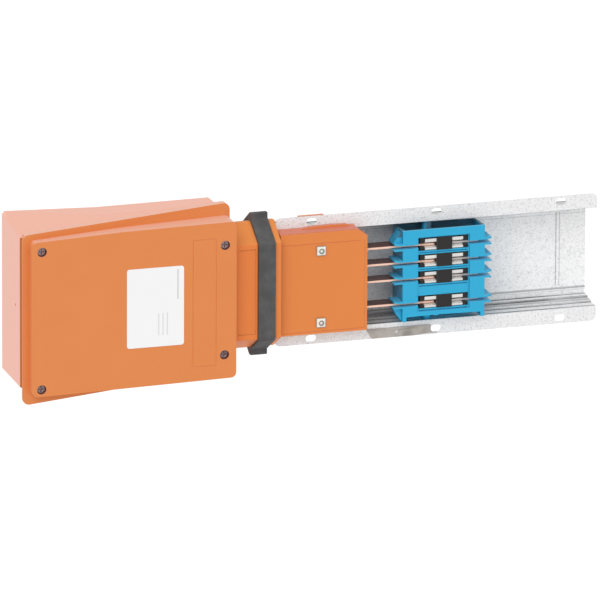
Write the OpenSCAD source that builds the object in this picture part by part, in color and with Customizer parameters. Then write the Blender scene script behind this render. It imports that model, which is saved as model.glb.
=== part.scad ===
// Feed and tap off box for a small busway, plugged to a short length of trunking.
// Frame: origin at the centre of the six flange slots, on the flanges' front plane.
// +X runs along the trunking away from the box, +Y to the back, +Z up. Millimetres.

/* [Trunking casing] */
// length of the trunking shown
casing_len = 245; // [243:1:250]
// height over both flanges
casing_h = 97; // [96:0.5:99]
// depth from the flange plane to the back of the web
casing_d = 28; // [27:0.5:31]
// sheet thickness
sheet = 1; // [0.8:0.1:1.2]
// width of each flange
flange_w = 11; // [10:0.5:12]
// slot pitch along the trunking
slot_pitch = 95; // [90:1:100]
// distance between the two slot rows
slot_rows = 88.6; // [87:0.2:89]
// slot length
slot_l = 8; // [7:0.5:10]
// slot width
slot_w = 5.2; // [4.8:0.1:5.6]
// depth of each step rolled into the walls
step_h = 1.2; // [0.8:0.1:1.5]
// thickness of the earth strip on the lower flange
strip_t = 1.2; // [0.8:0.1:1.6]

/* [Conductor bars] */
// bar thickness
bar_t = 1.6; // [1.2:0.1:2]
// bar width, front to back
bar_w = 13; // [10:0.5:14]
// front edge of the bars
bar_y = -6.2; // [-6.6:0.1:-5]
// height of the top bar
bar_top = 21.9; // [21:0.1:22.5]
// pitch of the three upper bars
bar_pitch = 12.6; // [12.2:0.1:12.8]
// gap from the third bar to the lowest one
bar_gap = 18.6; // [17:0.1:19]

/* [Joint block] */
// length of the block between its cheeks
block_l = 62.4; // [61:0.2:66]
// centre of the block along the trunking
block_x = 2.4; // [0:0.2:4]
// gap between the block and the casing's walls
block_in = 3; // [2.6:0.1:4]
// front of the block
block_y = -10.7; // [-10.9:0.1:-10]
// depth of the block body
block_d = 25; // [23:0.5:28]
// reach of the guide lips past the feed cheek
lip_l = 6.7; // [5:0.1:8]
// reach of the guide lips past the line cheek
lip_r = 5.4; // [4:0.1:7]
// depth of the guide lips, front to back
lip_d = 14; // [10:0.5:16]
// window height
win_h = 10; // [9.4:0.1:10.2]
// clearance between pieces that slide on each other
slide_gap = 0.3; // [0.2:0.05:0.4]

/* [Neck] */
// gap between the trunking's end and the collar
end_gap = 0.5; // [0.4:0.1:1]
// collar thickness
collar_w = 4.7; // [4:0.1:6]
// gasket width
gasket_w = 13; // [11:0.5:15]
// length of the neck between the gasket and the box
neck_l = 18.5; // [16:0.1:20]
// half height of the neck's front face
neck_f = 36; // [34:0.5:38]
// how far the neck stays inside the trunking's edges
neck_in = 0.9; // [0.4:0.1:2]
// front plane of the neck
neck_y = -18; // [-19:0.2:-16]
// wall of the neck
neck_t = 3; // [2.4:0.2:4]
// how far the gasket stands out
gasket_t = 6.2; // [4:0.2:6.6]
// front of the neck cover
cover_y = -11; // [-11.5:0.1:-10.6]
// length of the neck cover
cover_l = 65.7; // [60:0.1:70]
// lap of the neck cover over the upper flange
cover_up = 1.5; // [0.8:0.1:2.4]
// lap of the neck cover over the lower flange
cover_low = 0.2; // [0.1:0.1:2.4]
// side of the square washers
washer_s = 7; // [6:0.5:8]

/* [Box] */
// length of the box
box_l = 160.3; // [158:0.1:170]
// back plane of the box
box_back = 31; // [30:0.5:36]
// wall of the box
wall = 2.5; // [2:0.1:3]
// front plane of the lid
lid_y = -28; // [-30:0.5:-27]
// wall of the lid
lid_t = 2.2; // [1.8:0.1:2.6]
// radius of the lid's corners
lid_r = 5; // [3:0.5:7]
// plane of the lid's rim at its left end
rim_y0 = -21.5; // [-22.5:0.5:-20]
// plane of the lid's rim at its right end
rim_y1 = -10; // [-12:0.5:-9]
// depth of the rim skirt
skirt = 6; // [4:0.5:8]
// height of the box's top over the neck
box_over = 13.8; // [12:0.1:15]
// depth of the box's bottom under the neck
box_under = 15.2; // [14:0.1:17]
// rise of the box's bottom towards the neck
box_rise = 5.5; // [4:0.1:6]
// width of the lid's rim outside the box's bottom at its left end
rim_out = 7.5; // [6:0.1:8]
// cable entry radius
entry_r = 16.25; // [10.25:0.5:16.5]
// shank radius of the lid screws
screw_r = 1.95; // [1.8:0.05:2.1]
// head radius of the lid screws
head_r = 2.9; // [2.7:0.1:3.2]

/* [Label] */
// width of the label plate
label_w = 42.8; // [38:0.2:46]
// height of the label plate
label_h = 59.6; // [50:0.2:62]
// thickness of the label plate
label_t = 0.4; // [0.2:0.1:0.6]

/* [Hidden] */
$fn = 48;
e = 0.01;
run = 0.05;
half = casing_h / 2;
open_z = half - flange_w;
neck_h = half - neck_in;
block_h = 2 * (open_z - block_in);
web_y = casing_d - sheet;
cas_x = casing_len / 2;
bars = [bar_top, bar_top - bar_pitch, bar_top - 2 * bar_pitch, bar_top - 2 * bar_pitch - bar_gap];
bar_back = bar_y + bar_w;
bx0 = block_x - block_l / 2;
bx1 = block_x + block_l / 2;
wx0 = block_x - 19;
wx1 = block_x + 19;
blk_back = block_y + block_d;
hub0 = block_x - 4.8;
hub1 = block_x + 6.6;
feed_end = hub0 - 0.3;
col_x1 = -cas_x - end_gap;
col_x0 = col_x1 - collar_w;
gas_x0 = col_x0 - gasket_w;
box_x1 = gas_x0 - neck_l;
box_x0 = box_x1 - box_l;
neck_back = box_back - 1;
cov_x0 = col_x1 + 1.5;
cov_x1 = cov_x0 + cover_l;
cov_sx = cov_x0 + 30.5;
cov_t = open_z + cover_up;
cov_b = -open_z - cover_low;
cov_sz = [cov_t - 13.8, cov_b + 8.4];
fix_x = block_x - 8.4;
fix_y = 5.5;
lx0 = box_x0 + 1;
lx1 = box_x1 - 0.6;
px0 = lx0 + 5.5;
px1 = lx1;
pin = [[box_x0 + 14, neck_h - 1.6], [box_x0 + 13.5, -neck_h - 9.8], [box_x1 - 9, neck_h - 7.4],
  [box_x1 - 9.5, -neck_h + 5.2]];
screw_l = 25;
term_x = box_x1 - 72;
seal_t = 1.2;
front = lid_t + seal_t + slide_gap;
box_bot = -neck_h - box_under;
box_top = neck_h + box_over;
pad_z = box_bot + 1.5;

// ---- helpers ----
function unit(v) = v / norm(v);
function nrm(a, b) = let (d = unit(b - a)) [-d[1], d[0]];
function n1(p, i) = nrm(p[max(i - 1, 0)], p[max(i - 1, 0) + 1]);
function n2(p, i) = nrm(p[min(i, len(p) - 2)], p[min(i, len(p) - 2) + 1]);
function shift(p, i, t) = p[i] + (n1(p, i) + n2(p, i)) * t / (1 + n1(p, i) * n2(p, i));
function strip(p, t) = concat(p, [for (i = [len(p) - 1:-1:0]) shift(p, i, t)]);
function flip(p) = [for (i = [len(p) - 1:-1:0]) [p[i][0], -p[i][1]]];
function arc(a, b, c, r) = let (u = unit(a - b), v = unit(c - b), w = unit(u + v),
  s = norm(u - v) / 2, k = sqrt(1 - s * s), m = b + w * r / s, q = r * k / s,
  a0 = atan2((b + u * q - m)[1], (b + u * q - m)[0]), a1 = atan2((b + v * q - m)[1], (b + v * q - m)[0]),
  d = a1 - a0 > 180 ? a1 - a0 - 360 : (a1 - a0 < -180 ? a1 - a0 + 360 : a1 - a0))
  [for (i = [0:6]) m + r * [cos(a0 + d * i / 6), sin(a0 + d * i / 6)]];
function soft(p, r) = [for (i = [0:len(p) - 1])
  for (q = arc(p[(i + len(p) - 1) % len(p)], p[i], p[(i + 1) % len(p)], r)) q];

// polygon in x and z, pushed along y
module along_y(p, y0, y1) {
  translate([0, y1, 0])
    rotate([90, 0, 0])
      linear_extrude(y1 - y0)
        polygon(p);
}

// polygon in y and z, pushed along x
module along_x(p, x0, x1) {
  translate([x0, 0, 0])
    rotate([90, 0, 90])
      linear_extrude(x1 - x0)
        polygon(p);
}

// polygon in x and y, pushed along z
module along_z(p, z0, z1) {
  translate([0, 0, z0])
    linear_extrude(z1 - z0)
      polygon(p);
}

module block(x0, x1, y0, y1, z0, z1) {
  translate([x0, y0, z0])
    cube([x1 - x0, y1 - y0, z1 - z0]);
}

module rod_y(x, z, y0, y1, r) {
  translate([x, y1, z])
    rotate([90, 0, 0])
      cylinder(r = r, h = y1 - y0);
}

module rod_x(y, z, x0, x1, r) {
  translate([x0, y, z])
    rotate([0, 90, 0])
      cylinder(r = r, h = x1 - x0);
}

module slot_y(x, z, y0, y1) {
  block(x - slot_l / 2 + slot_w / 2, x + slot_l / 2 - slot_w / 2, y0, y1, z - slot_w / 2, z + slot_w / 2);
  rod_y(x - slot_l / 2 + slot_w / 2, z, y0, y1, slot_w / 2);
  rod_y(x + slot_l / 2 - slot_w / 2, z, y0, y1, slot_w / 2);
}

// the rim's slanted plane, and the space between two planes offset from it
function rim_y(x) = rim_y0 + (rim_y1 - rim_y0) * (x - lx0) / (lx1 - lx0);
module slant(a, b) {
  along_z([[lx0 - 9, rim_y(lx0 - 9) + a], [lx1 + 9, rim_y(lx1 + 9) + a], [lx1 + 9, rim_y(lx1 + 9) + b],
    [lx0 - 9, rim_y(lx0 - 9) + b]], -2 * half, 2 * half);
}

// ---- trunking ----
module trunk_casing() {
  top = [[0, half], [0, open_z], [11, open_z], [11 + step_h, open_z - step_h], [19, open_z - step_h],
    [19 + step_h, open_z - 2 * step_h], [web_y, open_z - 2 * step_h], [web_y, 32.2],
    [web_y - 0.7, 31.5], [web_y - 0.7, 29.8], [web_y, 29.1]];
  color([0.86, 0.87, 0.88])
    difference() {
      union() {
        along_x(strip(concat(top, flip(top)), sheet), -cas_x, cas_x);
        block(cas_x - 22.5, cas_x - 20, web_y - 0.4, web_y + sheet / 2, -27, 28);
      }
      for (i = [-1, 0, 1])
        for (s = [-1, 1])
          slot_y(i * slot_pitch, s * slot_rows / 2, -1, sheet + 1);
      rod_y(cas_x - 21.2, -24.5, web_y - 2, casing_d + 1, 0.9);
      for (s = [-1, 1])
        for (q = [-1, 1])
          translate([q * cas_x, 0, s * half])
            difference() {
              cube([8, 8, 8], center = true);
              translate([-q * 4, 0, -s * 4])
                rotate([90, 0, 0])
                  cylinder(r = 4, h = 20, center = true);
            }
      rod_z(fix_x, fix_y, -half, half, 1.6);
    }
}

module earth_strip() {
  z0 = -half + 0.4;
  z1 = -open_z - 3.4;
  color([0.62, 0.58, 0.53])
    difference() {
      along_y([[-53, z1], [-4.2, z1], [-4.2, z1 - 3.6], [0.8, z1 - 3.6], [0.8, z0 + 1], [-8, z0 + 1],
        [-16, z0], [-49, z0]], -strip_t, 0);
      slot_y(0, -slot_rows / 2, -3, 1);
      rod_y(-30, -slot_rows / 2, -3, 1, 1.5);
    }
}

module slit(x0, x1, z) {
  block(x0, x1, bar_y - slide_gap, bar_back + slide_gap, z - bar_t / 2 - slide_gap, z + bar_t / 2 + slide_gap);
}

// pair of guide lips above and below a bar, opening away from the cheek
module lip(s, z) {
  l = s > 0 ? lip_r : lip_l;
  x0 = s > 0 ? bx1 - 1 : bx0 + 1;
  x1 = s > 0 ? bx1 + l * 0.4 : bx0 - l * 0.4;
  x2 = s > 0 ? bx1 + l : bx0 - l;
  along_y([[x0, z + 1.5], [x1, z + 1.5], [x2, z + 2.5], [x2 - s * 0.4, z + 3.4], [x1, z + 2.8], [x0, z + 2.8]],
    block_y, block_y + lip_d);
  along_y([[x0, z - 1.1], [x1, z - 1.1], [x2, z - 1.7], [x2 - s * 0.4, z - 2.5], [x1, z - 2.4], [x0, z - 2.4]],
    block_y, block_y + lip_d);
}

module joint_block() {
  hz = block_h / 2;
  color([0.2, 0.66, 0.86])
    difference() {
      union() {
        block(bx0, bx1, block_y, blk_back, -hz + 4, hz - 5);
        // raised front lip, back lip and cheeks around the top trough
        block(bx0, bx1, block_y, block_y + 1.6, hz - 7, hz);
        block(bx0, bx1, blk_back - 1.6, blk_back, hz - 7, hz);
        block(bx1 - 2, bx1, block_y, blk_back, hz - 7, hz);
        block(bx0, bx0 + 2, block_y, blk_back, hz - 7, hz);
        // hollow foot under the block
        block(bx0, bx0 + 3, block_y, blk_back, -hz, -hz + 5);
        block(bx1 - 3, bx1, block_y, blk_back, -hz, -hz + 5);
        block(bx0, bx1, blk_back - 2, blk_back, -hz, -hz + 5);
        // arch over the foot's front
        along_y([[bx0 + 1, -hz + 5], [bx0 + 1, -hz + 3.4], [block_x - 8, -hz + 3.9], [block_x - 6, -hz + 3.2],
          [block_x - 3, -hz + 3.9], [bx1 - 1, -hz + 3.4], [bx1 - 1, -hz + 5]], block_y, block_y + 1.4);
        // bosses that meet the casing's walls, and legs back to its web
        rod_z(fix_x, fix_y, -open_z, -hz + 5, 3.6);
        rod_z(fix_x, fix_y, hz - 6, open_z, 3.6);
        for (x = [block_x - 24, block_x + 24])
          rod_y(x, 0, blk_back - e, web_y, 5);
        // guide lips at both ends of every bar slot
        for (z = bars) {
          lip(-1, z);
          lip(1, z);
        }
        // gussets over the first feed lip and under the last one
        along_y([[bx0 + 1, hz - 2], [bx0 - 0.8, hz - 2], [bx0 - lip_l, bars[0] + 3], [bx0 + 1, bars[0] + 2.6]],
          block_y + 3, block_y + lip_d);
        along_y([[bx0 + 1, -hz + 1], [bx0 - 0.8, -hz + 1], [bx0 - lip_l, bars[3] - 2.2], [bx0 + 1, bars[3] - 2.2]],
          block_y + 3, block_y + lip_d);
      }
      // windows, and the bar slots open to the front on both sides of them
      for (z = bars) {
        block(wx0, wx1, block_y - 1, bar_back + 2.2, z + 1.2 - win_h / 2, z + 1.2 + win_h / 2);
        block(bx0 - lip_l - 1, wx0 + e, block_y - 1, bar_y, z - bar_t / 2 - slide_gap, z + 1.5);
        block(wx1 - e, bx1 + lip_r + 1, block_y - 1, bar_y, z - bar_t / 2 - slide_gap, z + 1.5);
        slit(bx0 - lip_l - 2, bx1 + 8, z);
        // shallow line under each window
        block(wx0 + 0.8, wx1 - 0.8, block_y - 1, block_y + 2.4, z - 5.6, z - 4.7);
      }
      // face between the windows, set back from the pads beside them
      block(wx0 - 0.8, wx1 + 0.8, block_y - 1, block_y + 1.2, bars[3] - 5.6, bars[0] + 7);
      // cheeks' top edges fall towards the back
      for (x = [[bx0 - 1, fix_x - 4.5], [fix_x + 4.5, bx1 + 1]])
        along_x([[block_y + 2, hz + e], [blk_back + 1, hz + e], [blk_back + 1, hz - 1.9]], x[0], x[1]);
      // pockets that core the body out from behind
      for (x = [wx0 - 8.5, wx1 + 2.5])
        for (z = [bars[2] - 8, bars[0] + 4.6])
          block(x, x + 6, block_y + 4, blk_back + 1, z - 2.4, z + 2.4);
      for (s = [-1, 1])
        rod_z(fix_x, fix_y, s > 0 ? hz - 4.6 : -open_z - 1, s > 0 ? open_z + 1 : -hz + 4.6, 1.5);
    }
}

module block_screws() {
  hz = block_h / 2;
  color([0.55, 0.56, 0.58])
    for (s = [-1, 1]) {
      rod_z(fix_x, fix_y, s > 0 ? hz - 4.5 : -open_z - sheet, s > 0 ? open_z + sheet : -hz + 4.5, 1.5 - run);
      rod_z(fix_x, fix_y, s > 0 ? open_z + sheet : -open_z - sheet - 1.4, s > 0 ? open_z + sheet + 1.4 : -open_z - sheet, 2.8);
    }
}

// insulating carrier of one pole: hub between the two jaws and a slotted bracket at each end
module contact_cages() {
  color([0.14, 0.13, 0.13])
    for (z = bars)
      difference() {
        union() {
          block(hub0, hub1, block_y + 0.6, bar_back + 2.2, z - 3.7, z + 6.1);
          block(wx0 + 1.6, wx0 + 5, bar_y - 2.2, bar_back + 2.2, z - 3.7, z + 6);
          block(wx1 - 3.6, wx1 - 0.4, bar_y - 2.2, bar_back + 2.2, z - 3.7, z + 6);
          block(wx0 + 1.6, wx1 - 0.4, bar_back + 1.5, bar_back + 2.2, z - 2.4, z + 2.4);
        }
        slit(wx0 - 1, wx0 + 6, z);
        slit(wx1 - 6, wx1 + 1, z);
        // the brackets are open in front of the bar
        block(wx0 - 1, wx0 + 5.1, bar_y - 3, bar_y, z - bar_t / 2 - slide_gap, z + 1.5);
        block(wx1 - 3.7, wx1 + 1, bar_y - 3, bar_y, z - bar_t / 2 - slide_gap, z + 1.5);
      }
}

// spring clip that grips a bar from above and below, with flared front lips
module jaw(x0, x1, z) {
  g = bar_t / 2 + slide_gap;
  y0 = bar_y - 2.6;
  upper = [[y0, 4.9], [y0, 2.6], [bar_y + 0.4, g], [bar_back + 0.4, g]];
  lower = [[y0, 3.3], [y0, 1.9], [bar_y + 0.4, g], [bar_back + 0.4, g]];
  translate([0, 0, z])
    along_x(strip(concat(upper, flip(lower)), 0.7), x0, x1);
}

module feed_jaws() {
  color([0.87, 0.86, 0.84])
    for (z = bars)
      jaw(wx0 + 5.2, hub0 - 0.2, z);
}

module line_jaws() {
  color([0.87, 0.86, 0.84])
    for (z = bars)
      jaw(hub1 + 0.2, wx1 - 3.8, z);
}

module line_bars() {
  color([0.8, 0.55, 0.4])
    for (z = bars)
      block(hub1 + 0.3, bx1 - 3.6, bar_y, bar_back, z - bar_t / 2, z + bar_t / 2);
}

// ---- neck ----
function octo(f, h, y0, d) = [[y0 - d, -f - d * 0.4], [y0 - d, f + d * 0.4], [2, h + d], [5, h + d],
  [neck_back + min(d, 0.8), f + d * 0.4], [neck_back + min(d, 0.8), -f - d * 0.4], [5, -h - d], [2, -h - d]];

module neck_shell() {
  // the neck carries a rib on each side of the gasket and a shallow panel on its front
  color([0.875, 0.54, 0.3])
    difference() {
      union() {
        along_x(octo(neck_f, neck_h, neck_y, -0.6), box_x1 - wall - 1.5, col_x0);
        along_x(octo(neck_f, neck_h, neck_y, 0), box_x1, gas_x0);
      }
      along_x(octo(neck_f, neck_h, neck_y, -neck_t), box_x1 - 9, col_x0 + 1);
      block(box_x1 + 3.4, gas_x0 - 1.6, neck_y - 1, neck_y + 0.8, -32, 32);
    }
}

module neck_gasket() {
  half_ring = [[1.4, neck_h + 2], [1.4, neck_h + gasket_t], [5, neck_h + gasket_t], [neck_back + 0.8, neck_f + 0.8]];
  color([0.31, 0.32, 0.33])
    difference() {
      along_x(concat([[neck_y - 2, neck_f + 0.8]], half_ring, [for (i = [3:-1:0]) [half_ring[i][0], -half_ring[i][1]]],
        [[neck_y - 2, -neck_f - 0.8]]), gas_x0 + e, col_x0 - e);
      along_x(octo(neck_f, neck_h, neck_y, -0.6), gas_x0 - 1, col_x0 + 1);
    }
}

module neck_collar() {
  color([0.875, 0.54, 0.3])
    difference() {
      along_x(octo(neck_f, neck_h, neck_y, 0), col_x0, col_x1);
      along_x(octo(neck_f, neck_h, neck_y, -neck_t - 1), col_x0 - 1, col_x1 + 1);
    }
}

// channel that reaches from the collar into the trunking and carries the neck cover
module bridge_frame() {
  z1 = open_z - 3;
  y0 = cover_y + 1.9;
  color([0.82, 0.5, 0.28])
    difference() {
      union() {
        block(col_x1 + 0.2, cov_x1 - 7.5, y0, y0 + 1.8, -z1, z1);
        for (s = [-1, 1])
          block(col_x1 + 0.2, cov_x1 - 7.5, y0, 13, s > 0 ? z1 - 2 : -z1, s > 0 ? z1 : -z1 + 2);
        for (z = cov_sz)
          rod_y(cov_sx, z, y0, -1, 4);
        // tabs held by the collar
        for (s = [-1, 1]) {
          block(col_x0 + 0.5, col_x1 + 4, y0 + 4, 13, s > 0 ? z1 - 5 : -z1, s > 0 ? z1 : -z1 + 5);
          block(col_x0 + 0.5, col_x1, 2.2, 4.8, s > 0 ? z1 - 5 : -neck_h + neck_t + 1, s > 0 ? neck_h - neck_t - 1 : -z1 + 5);
        }
      }
      // room around the bars
      for (z = bars)
        block(col_x1 - 9, cov_x1, bar_y - 0.9, 14, z - bar_t / 2 - 0.6, z + bar_t / 2 + 0.6);
      for (z = cov_sz)
        rod_y(cov_sx, z, y0 - 1, -0.99, 1.55);
      // openings that lighten the plate
      for (x = [cov_x0 + 8, cov_x0 + 42])
        block(x, x + 12, y0 - 1, y0 + 3, -16, 14);
    }
}

// arm behind the upper flange, with an eye around the first slot
module latch_arm() {
  y0 = sheet + 0.5;
  lx = -slot_pitch;
  color([0.9, 0.5, 0.35])
    difference() {
      union() {
        block(col_x1, lx + 9.5, y0, y0 + 1.5, open_z + 1.3, open_z + 3.1);
        block(lx - 10, lx + 9.5, y0, y0 + 1.5, open_z + 1.3, half + 0.5);
        block(col_x1, col_x1 + 1.8, y0, y0 + 8, open_z + 1.3, half - 2.5);
      }
      block(lx - 5.4, lx + 5.4, y0 - 1, y0 + 3, open_z + 3.1, half - 1.3);
    }
}

// ---- conductors and terminals in the box ----
module feed_bars() {
  color([0.82, 0.58, 0.44])
    for (z = bars)
      difference() {
        block(term_x + 2, feed_end, bar_y, bar_back, z - bar_t / 2, z + bar_t / 2);
        along_z([[feed_end - 2, bar_y - 1], [feed_end + 1, bar_y - 1], [feed_end + 1, bar_y + 2]], z - 3, z + 3);
        along_z([[feed_end - 2, bar_back + 1], [feed_end + 1, bar_back + 1], [feed_end + 1, bar_back - 2]], z - 3, z + 3);
      }
}

module bar_support() {
  s0 = box_x1 + 4;
  color([0.2, 0.2, 0.21])
    difference() {
      union() {
        block(s0, s0 + 14, bar_y - 5, bar_back + 5, -34, 32);
        block(s0 + 4, s0 + 10, bar_back + 5 - e, neck_back - neck_t, -30, 28);
      }
      for (z = bars)
        block(s0 - 1, s0 + 15, bar_y, bar_back, z - bar_t / 2, z + bar_t / 2);
      for (z = [15.6, 3, -12.6])
        block(s0 - 1, s0 + 15, bar_y - 6, bar_y - 2, z - 2.2, z + 2.2);
      block(s0 + 2, s0 + 12, bar_back + 7, neck_back, -26, 24);
    }
}

module terminal_base() {
  x0 = term_x - 22;
  x1 = term_x + 8;
  yb = bar_back + 0.6;
  color([0.23, 0.24, 0.26])
    difference() {
      union() {
        block(x0, x1, yb, box_back - wall, -33, 32);
        for (z = [bars[0] + 6.3, bars[1] + 6.3, bars[2] + 6.3, bars[2] - 6.3, bars[3] + 6.3, bars[3] - 6.3])
          block(x0, x1, bar_y - 3, yb + e, z - 0.55, z + 0.55);
      }
      // cored from behind, with two cross ribs left
      for (z = [[-31, -12], [-10, 9], [11, 30]])
        block(x0 + 2, x1 - 2, yb + 3, box_back, z[0], z[1]);
    }
}

module terminal_blocks() {
  color([0.78, 0.7, 0.42])
    for (z = bars)
      difference() {
        block(term_x - 16, term_x + 6, bar_y - 1.4, bar_back + 0.6, z - 4.8, z + 4.8);
        block(term_x + 2, term_x + 7, bar_y, bar_back, z - bar_t / 2, z + bar_t / 2);
        rod_x(bar_y + 7.4, z, term_x - 17, term_x - 2, 3.6);
        rod_y(term_x - 9.5, z, bar_y - 2, bar_y + 7, 2);
      }
}

module terminal_screws() {
  color([0.72, 0.73, 0.74])
    for (z = bars)
      difference() {
        union() {
          rod_y(term_x - 9.5, z, bar_y - 1.4, bar_y + 4, 2 - run);
          rod_y(term_x - 9.5, z, bar_y - 3.6, bar_y - 1.4, 3);
        }
        block(term_x - 12, term_x - 7, bar_y - 4, bar_y - 2.4, z - 0.4, z + 0.4);
      }
}

module earth_terminal() {
  x0 = term_x - 16;
  color([0.8, 0.72, 0.35])
    difference() {
      union() {
        block(x0, x0 + 26, 10, 20, -48, -39);
        block(x0 + 8, x0 + 18, 20 - e, box_back - wall, -46.5, -40.5);
      }
      rod_x(15, -43.5, x0 - 1, x0 + 27, 3);
      for (x = [x0 + 6, x0 + 20])
        rod_y(x, -43.5, 9, 15, 2);
    }
}

// ---- box ----
function box_xz(t) = [[box_x0 + t, box_bot + 5.8 + t * 0.4], [box_x0 + 7.5 + t * 0.4, box_bot + t],
  [box_x1 - 5 - t * 0.4, box_bot + box_rise + t], [box_x1 - t, box_bot + box_rise + 4.5 + t * 0.4],
  [box_x1 - t, box_top - 6.4 - t * 0.4], [box_x1 - 5 - t * 0.4, box_top - 1.9 - t], [box_x0 + 70, box_top - 2.5 - t],
  [box_x0 + 2 + t, box_top - t], [box_x0 + t, box_top - 2 - t]];

module box_solid(t) {
  intersection() {
    along_y(box_xz(t), lid_y, box_back - t);
    along_x([[lid_y, box_bot - 9], [lid_y, box_top - 7.6 - t], [box_back, box_top + 0.2 - t],
      [box_back, box_bot - 9]], box_x0 - 5, box_x1 + 5);
  }
}

module back_shell() {
  ex = box_x0 + 80;
  color([0.875, 0.54, 0.3])
    difference() {
      union() {
        intersection() {
          difference() {
            box_solid(0);
            box_solid(wall);
          }
          slant(front, 90);
        }
        intersection() {
          for (p = pin)
            rod_y(p[0], p[1], lid_y, box_back - 1, 5);
          box_solid(0.5);
          slant(front, 90);
        }
        // ribs that stiffen the floor
        for (x = [box_x0 + 38, box_x0 + 112])
          intersection() {
            block(x, x + 1.8, box_back - 10, box_back - 1, box_bot - 9, box_top + 9);
            box_solid(1);
          }
        // pad around the cable entry, square to the cable
        intersection() {
          rod_z(ex, 9, pad_z, pad_z + 4.6, entry_r + 3);
          slant(front + 2, 90);
        }
      }
      // opening to the neck
      along_x(octo(neck_f, neck_h, neck_y, -0.6), box_x1 - wall - 1.6, box_x1 + 1);
      rod_z(ex, 9, pad_z - 9, pad_z + 9, entry_r);
      // centre mark on the end wall
      rod_x(-6.3, 1.4, box_x0 - 1, box_x0 + 0.5, 1.3);
      for (p = pin)
        rod_y(p[0], p[1], lid_y, box_back - 5, 3);
    }
}

module rod_z(x, y, z0, z1, r) {
  translate([x, y, z0])
    cylinder(r = r, h = z1 - z0);
}

module lid_inserts() {
  color([0.8, 0.65, 0.3])
    for (p = pin)
      difference() {
        rod_y(p[0], p[1], rim_y(p[0]) + front + 0.6, rim_y(p[0]) + front + 14, 3);
        rod_y(p[0], p[1], lid_y, box_back, screw_r + run);
      }
}

rim_b = box_bot - rim_out;
function rim_xz(t) = [[lx0 + t, rim_b + t], [lx1 - t, rim_b + 2 * box_rise + t], [lx1 - t, box_top + 5.6 - t],
  [lx0 + t, box_top - 3.9 - t]];
function flat_xz(t) = [[px0 + t, box_bot - 0.1 + t], [px1 - t, box_bot + 2.8 + t], [px1 - t, box_top - 3.7 - t],
  [px0 + 66, box_top - 5 - t], [px0 + t, box_top - 8 - t]];

module lid() {
  color([0.875, 0.54, 0.3])
    difference() {
      union() {
        difference() {
          union() {
            intersection() {
              along_y(soft(flat_xz(0), lid_r - 1), lid_y, rim_y1 + 1);
              slant(-90, 1);
            }
            intersection() {
              along_y(soft(rim_xz(0), lid_r), rim_y0 - 1, rim_y1 + skirt + 1);
              slant(0, skirt);
            }
          }
          // inside of the raised face, and the opening through the rim's plate
          intersection() {
            along_y(soft(flat_xz(lid_t), lid_r * 0.6), lid_y + lid_t, rim_y1 + 2);
            slant(-90, e);
          }
          intersection() {
            box_solid(wall + 0.8);
            slant(0, 90);
            block(px0 + lid_t, lx1 + 1, -90, 90, rim_b - 9, box_top + 9);
          }
          // inside of the skirt
          intersection() {
            along_y(soft(rim_xz(lid_t * 0.7), lid_r * 0.24), rim_y0 - 1, rim_y1 + skirt + 2);
            slant(lid_t, 90);
          }
          // no skirt at the two ends, where the lid lies on the box's walls
          intersection() {
            union() {
              block(lx0 - 1, box_x0 + wall + 0.5, -90, 90, rim_b - 9, box_top + 9);
              block(box_x1 - wall - 0.5, lx1 + 1, -90, 90, rim_b - 9, box_top + 9);
            }
            slant(lid_t, 90);
          }
        }
        for (p = pin)
          intersection() {
            rod_y(p[0], p[1], lid_y + 1, 0, 5);
            along_y(flat_xz(0.4), lid_y, 0);
            slant(-90, lid_t);
          }
        // stiffening ribs behind the face
        for (x = [px0 + 45, px0 + 104])
          block(x, x + 1.6, lid_y + 1, lid_y + 6, box_bot + 4.8, box_top - 7.4);
      }
      for (p = pin) {
        rod_y(p[0], p[1], lid_y - 1, 0, screw_r + 0.35);
        rod_y(p[0], p[1], lid_y - 1, lid_y + 5, head_r + 0.6);
      }
      // bare raised panel outline
      difference() {
        block(px1 - 33, px1 - 15, lid_y - 1, lid_y + 0.25, box_bot + 12.8, box_top - 15.4);
        block(px1 - 32.4, px1 - 15.6, lid_y - 2, lid_y + 1, box_bot + 13.4, box_top - 16);
      }
      // notch where the neck leaves the box
      along_x(octo(neck_f, neck_h, neck_y, 0.6), lx1 - lid_t - 1, lx1 + 2);
    }
}

module lid_seal() {
  color([0.2, 0.2, 0.2])
    intersection() {
      difference() {
        box_solid(0.7);
        box_solid(wall - 0.2);
        along_x(octo(neck_f, neck_h, neck_y, 0.6), lx1 - lid_t - 6, lx1 + 9);
      }
      slant(lid_t, lid_t + seal_t);
      along_y(rim_xz(0.4), -40, 40);
    }
}

module label_plate() {
  lxc = px0 + 92.2;
  color([0.96, 0.96, 0.95])
    along_y(soft([[lxc - label_w / 2, -2 - label_h / 2], [lxc + label_w / 2, -2 - label_h / 2],
      [lxc + label_w / 2, -2 + label_h / 2], [lxc - label_w / 2, -2 + label_h / 2]], 2), lid_y - label_t, lid_y);
}

module lid_screw(p) {
  y0 = lid_y + 2.4;
  color([0.45, 0.44, 0.44])
    difference() {
      union() {
        rod_y(p[0], p[1], y0, lid_y + 4.9, head_r);
        rod_y(p[0], p[1], lid_y + 4.9 - e, lid_y + 4.9 + screw_l, screw_r);
      }
      block(p[0] - 2.1, p[0] + 2.1, y0 - 1, y0 + 1.4, p[1] - 0.45, p[1] + 0.45);
      block(p[0] - 0.45, p[0] + 0.45, y0 - 1, y0 + 1.4, p[1] - 2.1, p[1] + 2.1);
    }
}

module lid_screw_1() {
  lid_screw(pin[0]);
}

module lid_screw_2() {
  lid_screw(pin[1]);
}

module lid_screw_3() {
  lid_screw(pin[2]);
}

module lid_screw_4() {
  lid_screw(pin[3]);
}

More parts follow.
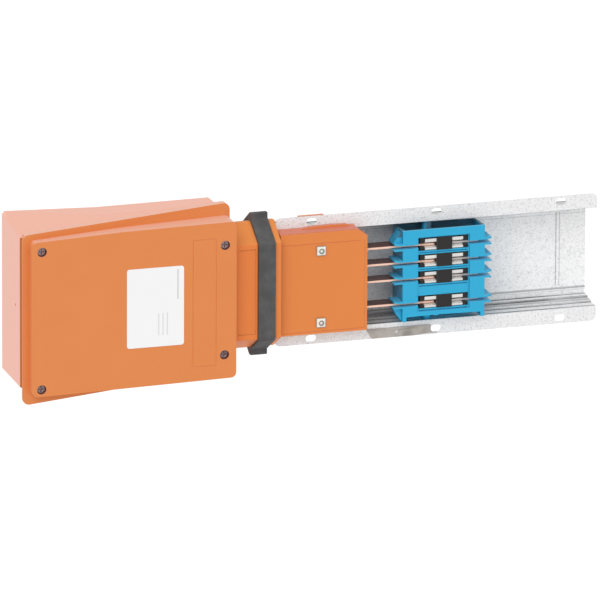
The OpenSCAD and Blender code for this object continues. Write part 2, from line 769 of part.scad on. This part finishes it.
// ---- neck cover ----
function cover_xz(t) = [[cov_x0 + t, cov_b + t], [cov_x1 - t, cov_b + t],
  [cov_x1 - t, cov_t - 5 - t * 0.4], [cov_x1 - 7 - t * 0.6, cov_t - t], [cov_x0 + t, cov_t - t]];

module neck_cover() {
  color([0.875, 0.54, 0.3])
    difference() {
      union() {
        along_y(cover_xz(0), cover_y, -0.3);
        // edge strip on the upper flange, swelling over its middle
        along_x([[cover_y + 1.4, cov_t - 1], [cover_y + 1.4, cov_t], [-0.3, cov_t + 1.4], [-0.3, cov_t - 1]],
          cov_x0, cov_x1 - 7.5);
        along_y([[cov_x0 + 16, cov_t - 1], [cov_x0 + 18, cov_t + 1.4], [cov_x0 + 26, cov_t + 2.3], [cov_x0 + 40, cov_t + 2.6],
          [cov_x0 + 52, cov_t + 2.3], [cov_x1 - 8, cov_t]], -3.4, -0.3);
      }
      along_y(cover_xz(1.5), cover_y + 1.5, 1);
      block(cov_x0 - 1, cov_x0 + 3, cover_y + 1.5, 1, cov_b + 3, cov_t - 3);
      block(cov_x1 - 3, cov_x1 + 1, cover_y + 1.5, 1, cov_b + 3, cov_t - 11);
      for (z = cov_sz)
        rod_y(cov_sx, z, cover_y - 1, cover_y + 3, 1.9);
      // groove behind the front's upper edge, and the shallow lines that frame the front
      block(cov_x0 - 1, cov_x1 - 7.4, cover_y + 0.6, cover_y + 1.3, cov_t - 0.7, cov_t + 4);
      block(cov_x0 - 1, cov_x1 - 5, cover_y - 1, cover_y + 0.3, cov_t - 8.6, cov_t - 8.1);
      block(cov_x0 - 1, cov_x1 - 1, cover_y - 1, cover_y + 0.3, cov_b + 1.6, cov_b + 2.1);
      block(cov_x1 - 2.1, cov_x1 - 1.6, cover_y - 1, cover_y + 0.3, cov_b + 2, cov_t - 8.6);
    }
}

module cover_washers() {
  color([0.88, 0.88, 0.86])
    for (z = cov_sz)
      difference() {
        block(cov_sx - washer_s / 2, cov_sx + washer_s / 2, cover_y - 1, cover_y, z - washer_s / 2, z + washer_s / 2);
        rod_y(cov_sx, z, cover_y - 2, cover_y + 1, 1.9);
      }
}

module cover_screw(z) {
  color([0.75, 0.75, 0.74])
    difference() {
      union() {
        rod_y(cov_sx, z, cover_y - 2.2, cover_y - 1.1, 2.3);
        rod_y(cov_sx, z, cover_y - 1.1 - e, -3, 1.5);
      }
      rod_y(cov_sx, z, cover_y - 3, cover_y - 1.7, 1.3);
    }
}

module cover_screw_top() {
  cover_screw(cov_sz[0]);
}

module cover_screw_low() {
  cover_screw(cov_sz[1]);
}

trunk_casing();
earth_strip();
joint_block();
block_screws();
contact_cages();
feed_jaws();
line_jaws();
line_bars();
back_shell();
neck_shell();
neck_gasket();
neck_collar();
bridge_frame();
latch_arm();
feed_bars();
bar_support();
terminal_base();
terminal_blocks();
terminal_screws();
earth_terminal();
lid_inserts();
lid();
lid_seal();
label_plate();
lid_screw_1();
lid_screw_2();
lid_screw_3();
lid_screw_4();
neck_cover();
cover_washers();
cover_screw_top();
cover_screw_low();
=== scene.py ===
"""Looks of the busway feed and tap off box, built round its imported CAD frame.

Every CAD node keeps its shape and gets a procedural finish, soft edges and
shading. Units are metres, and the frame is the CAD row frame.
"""

import logging
import math
from dataclasses import dataclass
from enum import Enum
from typing import Dict, List, Optional, Sequence, Tuple, Union

import bmesh
import bpy
from mathutils import Matrix, Vector


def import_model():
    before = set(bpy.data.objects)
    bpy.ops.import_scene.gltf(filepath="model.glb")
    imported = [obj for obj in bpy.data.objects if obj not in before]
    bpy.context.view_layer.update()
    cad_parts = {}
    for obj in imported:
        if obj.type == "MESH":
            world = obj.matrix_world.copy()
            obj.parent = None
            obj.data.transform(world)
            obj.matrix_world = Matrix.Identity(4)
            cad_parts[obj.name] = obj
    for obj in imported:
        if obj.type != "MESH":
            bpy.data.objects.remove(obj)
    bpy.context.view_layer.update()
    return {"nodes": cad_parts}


LOG = logging.getLogger("tap_off_box")
MM = 0.001
Rgb = Tuple[float, float, float]
Operand = Union["Wire", float]


class Axis(Enum):
    """Directions that a finish can tell faces apart by."""

    UP = (0.0, 0.0, 1.0)
    LEFT = (-1.0, 0.0, 0.0)
    FRONT = (0.0, -1.0, 0.0)
    UPPER_LEFT = (-0.62, 0.0, 0.78)


class Wire:
    """A shader socket that takes part in arithmetic."""

    def __init__(self, graph: "Graph", socket: bpy.types.NodeSocket) -> None:
        """Keeps the socket and the graph that it belongs to.

        Args:
            graph: The graph that makes further nodes.
            socket: The output socket that this wire starts at.
        """
        self.graph = graph
        self.socket = socket

    def __add__(self, other: Operand) -> "Wire":
        """Adds another value.

        Args:
            other: The other value.

        Returns:
            The sum.
        """
        return self.graph.maths("ADD", self, other)

    def __sub__(self, other: Operand) -> "Wire":
        """Takes another value away.

        Args:
            other: The other value.

        Returns:
            The difference.
        """
        return self.graph.maths("SUBTRACT", self, other)

    def __rsub__(self, other: Operand) -> "Wire":
        """Takes this value away from another.

        Args:
            other: The other value.

        Returns:
            The difference.
        """
        return self.graph.maths("SUBTRACT", other, self)

    def __mul__(self, other: Operand) -> "Wire":
        """Multiplies by another value.

        Args:
            other: The other value.

        Returns:
            The product.
        """
        return self.graph.maths("MULTIPLY", self, other)

    def __truediv__(self, other: Operand) -> "Wire":
        """Divides by another value.

        Args:
            other: The other value.

        Returns:
            The quotient.
        """
        return self.graph.maths("DIVIDE", self, other)

    def __pow__(self, other: Operand) -> "Wire":
        """Raises to a power.

        Args:
            other: The other value.

        Returns:
            The power.
        """
        return self.graph.maths("POWER", self, other)

    def clamp(self) -> "Wire":
        """Limits the value to the range from 0 to 1.

        Returns:
            The limited value.
        """
        return self.graph.maths("ADD", self, 0.0, clamp=True)

    def band(self, low: float, high: float) -> "Wire":
        """Maps low to 0 and high to 1 with a smooth step.

        Args:
            low: Value that gives 0.
            high: Value that gives 1.

        Returns:
            The stepped value.
        """
        node = self.graph.node(
            "ShaderNodeMapRange", {"Value": self, "From Min": low, "From Max": high}, interpolation_type="SMOOTHSTEP"
        )
        return self.graph.out(node, "Result")


class Graph:
    """One material's node tree, with a single way to make nodes."""

    def __init__(self, name: str) -> None:
        """Starts an empty material with a Principled surface.

        Args:
            name: Name of the material.
        """
        self.material = bpy.data.materials.new(name)
        self.material.use_nodes = True
        self.tree = self.material.node_tree
        self.shader = self.tree.nodes["Principled BSDF"]
        coords = self.node("ShaderNodeTexCoord", {})
        self.place = self.out(coords, "Object")
        self.normal = self.out(coords, "Normal")

    def node(self, kind: str, inputs: Dict[Union[str, int], object], **settings: object) -> bpy.types.Node:
        """Makes a node, sets its properties, and links or sets its inputs.

        Args:
            kind: Blender's node type.
            inputs: Socket names or indices, with a wire or a constant for each.
            **settings: Properties of the node itself.

        Returns:
            The new node.
        """
        made = self.tree.nodes.new(kind)
        for key, value in settings.items():
            setattr(made, key, value)
        for key, value in inputs.items():
            self.feed(made.inputs[key], value)
        return made

    def feed(self, socket: bpy.types.NodeSocket, value: object) -> None:
        """Links a wire to a socket, or sets the socket's constant.

        Args:
            socket: The input socket.
            value: A wire, a number or a colour.
        """
        if isinstance(value, Wire):
            self.tree.links.new(value.socket, socket)
        elif isinstance(value, tuple) and len(value) == 3 and socket.type == "RGBA":
            socket.default_value = (*value, 1.0)
        else:
            socket.default_value = value

    def out(self, node: bpy.types.Node, name: Union[str, int]) -> Wire:
        """Wraps one of a node's outputs.

        Args:
            node: The node.
            name: Output name or index.

        Returns:
            The wire that starts there.
        """
        return Wire(self, node.outputs[name])

    def maths(self, operation: str, a: Operand, b: Operand, clamp: bool = False) -> Wire:
        """Makes a Math node.

        Args:
            operation: Blender's name for the operation.
            a: First operand.
            b: Second operand.
            clamp: Whether the result is kept from 0 to 1.

        Returns:
            The result.
        """
        return self.out(self.node("ShaderNodeMath", {0: a, 1: b}, operation=operation, use_clamp=clamp), 0)

    def noise(self, scale: float, detail: float = 3.0, rough: float = 0.55, stretch: Optional[Rgb] = None) -> Wire:
        """Makes a noise pattern in object coordinates.

        Args:
            scale: Features per metre.
            detail: Octaves.
            rough: Weight of the finer octaves.
            stretch: Scale along each axis, where the pattern isn't even.

        Returns:
            The pattern, from 0 to 1.
        """
        place = self.place
        if stretch is not None:
            place = self.out(self.node("ShaderNodeMapping", {"Vector": self.place, "Scale": stretch}), 0)
        node = self.node(
            "ShaderNodeTexNoise", {"Vector": place, "Scale": scale, "Detail": detail, "Roughness": rough}
        )
        return self.out(node, 0)

    def cells(self, scale: float, feature: str = "F1") -> Wire:
        """Makes a cell pattern in object coordinates.

        Args:
            scale: Cells per metre.
            feature: Blender's name for the distance that is given.

        Returns:
            The distance pattern.
        """
        node = self.node("ShaderNodeTexVoronoi", {"Vector": self.place, "Scale": scale}, feature=feature)
        return self.out(node, "Distance")

    def facing(self, axis: Axis) -> Wire:
        """Tells how far a face looks along a direction.

        Args:
            axis: The direction.

        Returns:
            1 for a face that looks straight along it, 0 for one that doesn't.
        """
        dot = self.node("ShaderNodeVectorMath", {0: self.normal, 1: axis.value}, operation="DOT_PRODUCT")
        return self.out(dot, "Value").clamp()

    def split(self) -> List[Wire]:
        """Gives the object coordinates one by one.

        Returns:
            The x, y and z wires.
        """
        node = self.node("ShaderNodeSeparateXYZ", {0: self.place})
        return [self.out(node, i) for i in range(3)]

    def mix(self, factor: Operand, a: Union[Wire, Rgb], b: Union[Wire, Rgb]) -> Wire:
        """Blends two colours.

        Args:
            factor: 0 for the first, 1 for the second.
            a: First colour.
            b: Second colour.

        Returns:
            The blended colour.
        """
        node = self.node("ShaderNodeMix", {0: factor, 6: a, 7: b}, data_type="RGBA")
        return self.out(node, 2)

    def bump(self, height: Wire, strength: float, depth: float) -> Wire:
        """Turns a height pattern into a normal.

        Args:
            height: The pattern.
            strength: Share of the effect.
            depth: Height of a full step, in metres.

        Returns:
            The bumped normal.
        """
        node = self.node("ShaderNodeBump", {"Height": height, "Strength": strength, "Distance": depth})
        return self.out(node, 0)

    def surface(self, **sockets: object) -> bpy.types.Material:
        """Feeds the Principled surface and ends the material.

        Args:
            **sockets: Socket names with underscores for spaces, and their values.

        Returns:
            The finished material.
        """
        for key, value in sockets.items():
            self.feed(self.shader.inputs[key.replace("_", " ")], value)
        return self.material


@dataclass(frozen=True)
class Moulding:
    """A moulded plastic: its colour and grain, with light painted into the colour of faces looking up and left, and
    painted shade in some hollows.
    """

    name: str
    colour: Rgb
    painted_top_light: Rgb
    roughness: float = 0.42
    grain: float = 2600.0
    relief: float = 0.00004
    mottle: float = 0.06
    # Colour painted on faces looking left, lighter or darker as the light falls on them.
    side: Optional[Rgb] = None
    # Dark slate painted as shade on the floor and back wall of the blue block's trough.
    painted_trough_shade: Optional[Rgb] = None
    # Centres of the lid's screw holes, whose walls get painted shade.
    shaded_well_centres: Tuple[Tuple[float, float], ...] = ()

    def paint(self, g: Graph) -> Wire:
        """Mixes the colour of the moulding, with painted light on faces looking up and left and painted shade in the
        blue block's trough and the lid's screw holes.

        Args:
            g: The material's graph.

        Returns:
            The colour.
        """
        cloud = g.noise(28.0, 2.0)
        shade = g.mix(cloud.band(0.25, 0.8) * self.mottle, self.colour, tuple(c * 0.72 for c in self.colour))
        scuff = g.noise(240.0, 4.0, 0.7, (1.0, 1.0, 0.35)).band(0.66, 0.8)
        shade = g.mix(scuff * 0.12, shade, tuple(min(1.0, c * 1.12 + 0.03) for c in self.colour))
        # Painted light: faces looking up take the lit colour, then faces looking left take the colour for left
        # faces; on the blue block that one is darker, as painted shade.
        colour = g.mix(g.facing(Axis.UP).band(0.12, 0.9), shade, self.painted_top_light)
        colour = g.mix(g.facing(Axis.LEFT).band(0.3, 0.95), colour, self.side or self.painted_top_light)
        x, y, z = g.split()
        if self.painted_trough_shade is not None:
            # Painted shade: the trough along the blue block's upper edge, in shade under the casing, takes a dark
            # slate colour, mottled a little.
            inside = z.band(0.0290, 0.0293) * z.band(0.0367, 0.0362) * y.band(-0.0091, -0.0088)
            inside = inside * g.facing(Axis.LEFT).band(0.6, 0.3)
            colour = g.mix(inside * (cloud.band(0.3, 0.7) * 0.2 + 0.7), colour, self.painted_trough_shade)
        # Painted shade: the walls of the lid's screw holes, behind the lid's face, turn dark maroon.
        for across, up in self.shaded_well_centres:
            off = (x - across) * (x - across) + (z - up) * (z - up)
            well_shade = off.band(0.0000160, 0.0000130) * y.band(-0.0279, -0.0274)
            colour = g.mix(well_shade * 0.9, colour, (0.16, 0.035, 0.025))
        return colour

    def build(self) -> bpy.types.Material:
        """Makes the material.

        Returns:
            The material.
        """
        g = Graph(self.name)
        colour = self.paint(g)
        fine = g.noise(self.grain, 2.0, 0.6)
        return g.surface(
            Base_Color=colour,
            Roughness=(fine * 0.12) + (self.roughness - 0.06),
            Specular_IOR_Level=0.35,
            Normal=g.bump(fine, 0.35, self.relief),
        )


@dataclass(frozen=True)
class Metal:
    """A bare or plated metal with fine lines, some tarnish, and on some a painted dark reflection on faces looking
    up.
    """

    name: str
    colour: Rgb
    tarnish: Rgb
    painted_top_reflection: Optional[Rgb] = None
    metallic: float = 0.6
    roughness: float = 0.35
    lines: Rgb = (1.0, 14.0, 14.0)
    amount: float = 0.35

    def build(self) -> bpy.types.Material:
        """Makes the material.

        Returns:
            The material.
        """
        g = Graph(self.name)
        brushed = g.noise(160.0, 4.0, 0.6, self.lines)
        stain = g.noise(70.0, 4.0).band(0.42, 0.72)
        colour = g.mix(stain * self.amount, self.colour, self.tarnish)
        # Painted reflection: faces looking up turn dark, standing in for the dark surroundings that they reflect.
        if self.painted_top_reflection is not None:
            colour = g.mix(g.facing(Axis.UP).band(0.3, 0.8), colour, self.painted_top_reflection)
        return g.surface(
            Base_Color=colour,
            Metallic=self.metallic,
            Roughness=(brushed * 0.2) + (self.roughness - 0.1),
            Normal=g.bump(brushed, 0.3, 0.00003),
        )


class Finishes:
    """The object's materials, each made once and kept by name."""

    def __init__(self) -> None:
        """Makes every material."""
        orange = (0.745, 0.240, 0.067)
        # Painted light: the lit colour of faces looking up, and below it the lit colour of faces looking left.
        painted_top_light = (0.90, 0.467, 0.352)
        painted_left_light = (0.80, 0.29, 0.12)
        self.by_name: Dict[str, bpy.types.Material] = {}
        plain: Sequence[Union[Moulding, Metal]] = (
            Moulding("orange_body", orange, painted_top_light, 0.42, side=(0.96, 0.51, 0.405)),
            Moulding(
                "orange_lid", orange, (0.86, 0.46, 0.33), 0.4, 2200.0, side=painted_left_light,
                shaded_well_centres=((-0.3055, 0.0460), (-0.3060, -0.0574), (-0.1682, 0.0402), (-0.1687, -0.0424)),
            ),
            Moulding("orange_neck", (0.80, 0.225, 0.048), (0.79, 0.262, 0.056), 0.42, side=painted_left_light),
            Moulding("orange_cover", (0.755, 0.230, 0.052), (0.66, 0.21, 0.135), 0.4, 2200.0, side=painted_left_light),
            Moulding(
                "blue_plastic", (0.022, 0.405, 0.665), (0.10, 0.50, 0.74), 0.34, 3200.0,
                side=(0.018, 0.24, 0.42), painted_trough_shade=(0.075, 0.095, 0.115),
            ),
            Moulding("black_plastic", (0.016, 0.013, 0.013), (0.05, 0.046, 0.046), 0.4, 3000.0),
            Moulding("grey_plastic", (0.075, 0.08, 0.09), (0.12, 0.12, 0.13), 0.5, 2600.0),
            Moulding("seal_foam", (0.03, 0.03, 0.03), (0.05, 0.05, 0.05), 0.9, 1800.0, 0.0002),
            # For the bars, the fourth colour is a painted dark reflection on faces looking up.
            Metal("copper", (1.0, 0.66, 0.52), (0.74, 0.38, 0.26), (0.17, 0.085, 0.075), 0.35, 0.34),
            Metal("line_copper", (0.62, 0.58, 0.58), (0.42, 0.36, 0.35), (0.12, 0.07, 0.06), 0.4, 0.4),
            Metal("silver_plate", (0.80, 0.78, 0.75), (0.55, 0.53, 0.5), None, 0.35, 0.28),
            Metal("terminal_brass", (0.62, 0.48, 0.2), (0.45, 0.33, 0.13), None, 0.9, 0.32),
            Metal("zinc", (0.45, 0.46, 0.48), (0.3, 0.31, 0.32), None, 0.9, 0.36),
            Metal("screw_steel", (0.34, 0.25, 0.26), (0.07, 0.03, 0.03), None, 0.7, 0.34, (6.0, 6.0, 6.0), 0.75),
            Metal("tinned_strip", (0.47, 0.43, 0.395), (0.22, 0.19, 0.17), None, 0.5, 0.34, (1.0, 8.0, 8.0), 0.7),
        )
        for recipe in plain:
            self.by_name[recipe.name] = recipe.build()
        self.by_name["galvanised_sheet"] = self._galvanised()
        self.by_name["gasket_rubber"] = self._rubber()
        self.by_name["label_white"] = self._label()
        self.by_name["washer_steel"] = self._washer()
        LOG.info("made %d materials", len(self.by_name))

    @staticmethod
    def _galvanised() -> bpy.types.Material:
        """Makes the trunking's sheet: bright zinc with a fine dark speckle, painted light that brightens the web,
        and painted shade lines along its folds and grooves.

        Returns:
            The material.
        """
        g = Graph("galvanised_sheet")
        x, y, z = g.split()
        speck = g.noise(950.0, 4.0, 0.8).band(0.48, 0.64)
        grit = g.noise(430.0, 3.0, 0.75).band(0.5, 0.66)
        cloud = g.noise(60.0, 3.0).band(0.35, 0.7)
        spangle = g.cells(210.0)
        web = y.band(0.0225, 0.0262)
        colour = g.mix(cloud * 0.3, (0.90, 0.895, 0.895), (0.80, 0.80, 0.81))
        # Painted light: the web at the back of the casing is brightened towards white, making up for the light that
        # its depth keeps off it.
        colour = g.mix(web * 0.8, colour, (1.0, 1.0, 1.0))
        grain = (speck * 0.36 + grit * 0.26) * (1.35 - web * 0.35)
        colour = g.mix(grain.clamp(), colour, (0.42, 0.42, 0.44))

        def line(place: Wire, at: float, half: float) -> Wire:
            """Draws a soft dark line where a fold holds shade.

            Args:
                place: The coordinate across the line.
                at: The line's place.
                half: Half of its width.

            Returns:
                1 on the line, 0 off it.
            """
            return g.maths("ABSOLUTE", place - at, 0.0).band(half, half * 0.35)

        # Painted shade: near-black lines along the folds of the bottom wall, on faces looking up, broken up by
        # noise.
        upward_faces = g.facing(Axis.UP).band(0.5, 0.9)
        fold_shade_breakup = g.noise(70.0, 3.0, 0.6, (0.25, 1.0, 1.0)).band(0.3, 0.7)
        fold_shade_lines = line(y, 0.0024, 0.0016) + line(y, 0.0108, 0.0016) + line(y, 0.0150, 0.0032) * 0.45
        fold_shade_lines = (fold_shade_lines + line(y, 0.0194, 0.0016) + line(y, 0.0258, 0.0020)).clamp()
        colour = g.mix(upward_faces * fold_shade_lines * (fold_shade_breakup * 0.45 + 0.55), colour, (0.025, 0.027, 0.03))
        # Painted shade: grey lines where the web's grooves and folds hold shade, and two more along the bead near x
        # = 0.1 m.
        groove_shade_lines = line(z, 0.0292, 0.0005) * 0.6 + line(z, 0.0268, 0.0004) * 0.3 + line(z, -0.0302, 0.0007) * 0.7
        inside = g.maths("ABSOLUTE", z, 0.0).band(0.0285, 0.0278)
        bead = (line(x, 0.0999, 0.0005) + line(x, 0.1026, 0.0005)) * inside * 0.5
        colour = g.mix(web * (groove_shade_lines + bead).clamp(), colour, (0.22, 0.23, 0.24))
        return g.surface(
            Base_Color=colour,
            Metallic=0.2,
            Roughness=(spangle * 0.25) + 0.36,
            Normal=g.bump(speck, 0.3, 0.00005),
        )

    @staticmethod
    def _rubber() -> bpy.types.Material:
        """Makes the gasket's rubber.

        Returns:
            The material.
        """
        g = Graph("gasket_rubber")
        cloud = g.noise(90.0, 4.0)
        fine = g.noise(1500.0, 3.0, 0.7)
        colour = g.mix(cloud.band(0.3, 0.75), (0.074, 0.074, 0.075), (0.112, 0.110, 0.110))
        return g.surface(
            Base_Color=colour,
            Roughness=(fine * 0.2) + 0.6,
            Specular_IOR_Level=0.25,
            Normal=g.bump(fine, 0.5, 0.00008),
        )

    @staticmethod
    def _label() -> bpy.types.Material:
        """Makes the blank label's smooth white, with four ruled lines to write on.

        Returns:
            The material.
        """
        g = Graph("label_white")
        x, _, z = g.split()
        cloud = g.noise(40.0, 2.0)
        colour = g.mix(cloud, (0.905, 0.90, 0.90), (0.88, 0.875, 0.875))
        for across, low, high, depth in (
            (-0.2040, 0.0030, 0.0255, 0.6),
            (-0.2120, -0.0235, -0.0065, 0.35),
            (-0.2152, -0.0235, -0.0065, 0.35),
            (-0.2184, -0.0235, -0.0065, 0.35),
        ):
            rule = g.maths("ABSOLUTE", x - across, 0.0).band(0.00042, 0.00026)
            rule = rule * z.band(low, low + 0.0002) * z.band(high, high - 0.0002)
            colour = g.mix(rule * depth, colour, (0.22, 0.22, 0.23))
        return g.surface(
            Base_Color=colour,
            Roughness=(g.noise(800.0, 2.0) * 0.1) + 0.3,
        )

    @staticmethod
    def _washer() -> bpy.types.Material:
        """Makes the bright steel of the cover's washers and screws, with a dark band of painted shade in the
        driver's seat.

        Returns:
            The material.
        """
        g = Graph("washer_steel")
        x, _, z = g.split()
        side = x + 0.0910
        rise = z + 0.02925 - z.band(-0.001, 0.001) * 0.05445
        off = side * side + rise * rise
        drive_recess_shade = off.band(0.0000011, 0.0000015) * off.band(0.0000047, 0.0000040)
        reach = g.maths("MAXIMUM", g.maths("ABSOLUTE", side, 0.0), g.maths("ABSOLUTE", rise, 0.0))
        edge = reach.band(0.00295, 0.00325)
        brushed = g.noise(600.0, 3.0)
        colour = g.mix(brushed * 0.25, (0.93, 0.92, 0.84), (0.7, 0.69, 0.62))
        # Painted shade: a dark band round the screw's centre, where the drive hole holds shade.
        colour = g.mix(drive_recess_shade * 0.8, colour, (0.06, 0.05, 0.045))
        colour = g.mix(edge * 0.65, colour, (0.13, 0.075, 0.05))
        return g.surface(
            Base_Color=colour,
            Metallic=0.3,
            Roughness=(brushed * 0.2) + 0.25,
            Normal=g.bump(brushed, 0.2, 0.00003),
        )

    def __getitem__(self, name: str) -> bpy.types.Material:
        """Gives a material by name.

        Args:
            name: The material's name.

        Returns:
            The material.
        """
        return self.by_name[name]


@dataclass(frozen=True)
class Dress:
    """What one CAD node wears: its finish and how soft its edges are."""

    node: str
    finish: str
    edge_mm: float = 0.25


DRESSES: Tuple[Dress, ...] = (
    Dress("trunk_casing", "galvanised_sheet", 0.2),
    Dress("earth_strip", "tinned_strip", 0.15),
    Dress("joint_block", "blue_plastic", 0.25),
    Dress("block_screws", "zinc", 0.2),
    Dress("contact_cages", "black_plastic", 0.2),
    Dress("feed_jaws", "silver_plate", 0.1),
    Dress("line_jaws", "silver_plate", 0.1),
    Dress("line_bars", "line_copper", 0.15),
    Dress("feed_bars", "copper", 0.15),
    Dress("back_shell", "orange_body", 0.8),
    Dress("neck_shell", "orange_neck", 0.5),
    Dress("neck_gasket", "gasket_rubber", 0.6),
    Dress("neck_collar", "orange_neck", 0.5),
    Dress("bridge_frame", "orange_neck", 0.3),
    Dress("latch_arm", "orange_body", 0.2),
    Dress("bar_support", "black_plastic", 0.3),
    Dress("terminal_base", "grey_plastic", 0.2),
    Dress("terminal_blocks", "terminal_brass", 0.2),
    Dress("terminal_screws", "zinc", 0.15),
    Dress("earth_terminal", "terminal_brass", 0.2),
    Dress("lid_inserts", "terminal_brass", 0.1),
    Dress("lid", "orange_lid", 0.45),
    Dress("lid_seal", "seal_foam", 0.15),
    Dress("label_plate", "label_white", 0.1),
    Dress("lid_screw_1", "screw_steel", 0.15),
    Dress("lid_screw_2", "screw_steel", 0.15),
    Dress("lid_screw_3", "screw_steel", 0.15),
    Dress("lid_screw_4", "screw_steel", 0.15),
    Dress("neck_cover", "orange_cover", 0.4),
    Dress("cover_washers", "washer_steel", 0.15),
    Dress("cover_screw_top", "washer_steel", 0.15),
    Dress("cover_screw_low", "washer_steel", 0.15),
)


class Wardrobe:
    """Puts finishes and soft edges on the CAD nodes."""

    def __init__(self, nodes: Dict[str, bpy.types.Object], finishes: Finishes) -> None:
        """Keeps the nodes and the finishes.

        Args:
            nodes: The CAD nodes by name.
            finishes: The materials.
        """
        self.nodes = nodes
        self.finishes = finishes

    def dress(self, wear: Dress) -> None:
        """Dresses one node.

        Args:
            wear: What it wears.
        """
        piece = self.nodes[wear.node]
        piece.data.materials.clear()
        piece.data.materials.append(self.finishes[wear.finish])
        weld = piece.modifiers.new("weld", "WELD")
        weld.merge_threshold = 0.002 * MM
        bevel = piece.modifiers.new("soft_edges", "BEVEL")
        bevel.width = wear.edge_mm * MM
        bevel.segments = 2
        bevel.limit_method = "ANGLE"
        bevel.angle_limit = math.radians(28)
        bevel.harden_normals = True
        LOG.info("dressed %s in %s", wear.node, wear.finish)


@dataclass(frozen=True)
class Lamp:
    """One lamp: a sun by its direction, or an area lamp by its place."""

    name: str
    towards: Rgb
    power: float
    spread: float
    colour: Rgb = (1.0, 1.0, 1.0)


class Studio:
    """Camera, lamps and the white surround."""

    LAMPS = (
        Lamp("key", (0.42, 0.62, -0.66), 1.2, 0.7),
        Lamp("fill", (-0.5, 0.8, -0.2), 0.2, 1.4),
    )

    @staticmethod
    def camera() -> None:
        """Places the long-lens camera, left of the front and above."""
        azimuth, elevation, roll = math.radians(-16.67), math.radians(16.84), math.radians(0.26)
        distance, scale = 9.323, 1376.2
        target = Vector((-0.1035, 0.0, -0.0144))
        back = Vector(
            (math.sin(azimuth) * math.cos(elevation), -math.cos(azimuth) * math.cos(elevation), math.sin(elevation))
        )
        right = Vector((math.cos(azimuth), math.sin(azimuth), 0.0))
        up = back.cross(right)
        turned = right * math.cos(roll) + up * math.sin(roll)
        raised = up * math.cos(roll) - right * math.sin(roll)
        data = bpy.data.cameras.new("camera")
        data.lens = 36.0 * scale * distance / 600.0
        data.sensor_width = 36.0
        data.clip_start, data.clip_end = 1.0, 40.0
        body = bpy.data.objects.new("camera", data)
        body.matrix_world = Matrix(
            (
                (turned.x, raised.x, back.x, target.x + back.x * distance),
                (turned.y, raised.y, back.y, target.y + back.y * distance),
                (turned.z, raised.z, back.z, target.z + back.z * distance),
                (0.0, 0.0, 0.0, 1.0),
            )
        )
        bpy.context.scene.collection.objects.link(body)
        bpy.context.scene.camera = body
        LOG.info("camera %.1f m away", distance)

    @classmethod
    def lamps(cls) -> None:
        """Hangs the lamps."""
        for lamp in cls.LAMPS:
            data = bpy.data.lights.new(lamp.name, "SUN")
            data.energy = lamp.power
            data.angle = lamp.spread
            data.color = lamp.colour
            body = bpy.data.objects.new(lamp.name, data)
            body.rotation_mode = "QUATERNION"
            body.rotation_quaternion = Vector(lamp.towards).to_track_quat("-Z", "Y")
            bpy.context.scene.collection.objects.link(body)
            LOG.info("hung lamp %s", lamp.name)

    @staticmethod
    def surround() -> None:
        """Makes the surround white to the camera and softer to the object."""
        world = bpy.data.worlds.new("surround")
        world.use_nodes = True
        bpy.context.scene.world = world
        tree = world.node_tree
        path = tree.nodes.new("ShaderNodeLightPath")
        seen = path.outputs["Is Camera Ray"]
        for ray in ("Is Glossy Ray", "Is Transmission Ray"):
            either = tree.nodes.new("ShaderNodeMath")
            either.operation = "MAXIMUM"
            tree.links.new(seen, either.inputs[0])
            tree.links.new(path.outputs[ray], either.inputs[1])
            seen = either.outputs[0]
        level = tree.nodes.new("ShaderNodeMapRange")
        level.inputs["To Min"].default_value = 0.665
        level.inputs["To Max"].default_value = 1.0
        tree.links.new(seen, level.inputs["Value"])
        backdrop = tree.nodes["Background"]
        backdrop.inputs["Color"].default_value = (1.0, 1.0, 1.0, 1.0)
        tree.links.new(level.outputs["Result"], backdrop.inputs["Strength"])

    @staticmethod
    def floor() -> None:
        """Lays the near-white floor well under the object, which hangs free above it."""
        mesh = bpy.data.meshes.new("floor")
        shape = bmesh.new()
        bmesh.ops.create_grid(shape, x_segments=4, y_segments=4, size=16.0)
        bmesh.ops.translate(shape, verts=shape.verts, vec=(0.0, 4.0, -1.2))
        shape.to_mesh(mesh)
        shape.free()
        ground = bpy.data.objects.new("floor", mesh)
        bpy.context.scene.collection.objects.link(ground)
        g = Graph("floor_white")
        path = g.node("ShaderNodeLightPath", {})
        glow = g.mix(g.out(path, "Is Camera Ray"), (0.0, 0.0, 0.0), (1.0, 1.0, 1.0))
        g.surface(Base_Color=(0.9, 0.9, 0.9), Roughness=0.9, Emission_Color=glow, Emission_Strength=0.22)
        mesh.materials.append(g.material)
        LOG.info("laid the floor")

    @classmethod
    def set_up(cls) -> None:
        """Sets up the whole studio."""
        cls.camera()
        cls.lamps()
        cls.surround()
        cls.floor()
        bpy.context.scene.view_settings.view_transform = "Standard"


def main() -> None:
    """Loads the frame, dresses it, and sets up the studio."""
    logging.basicConfig(level=logging.INFO, format="%(name)s: %(message)s")
    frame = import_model()
    wardrobe = Wardrobe(frame["nodes"], Finishes())
    for wear in DRESSES:
        wardrobe.dress(wear)
    Studio.set_up()


if __name__ == "__main__":
    main()
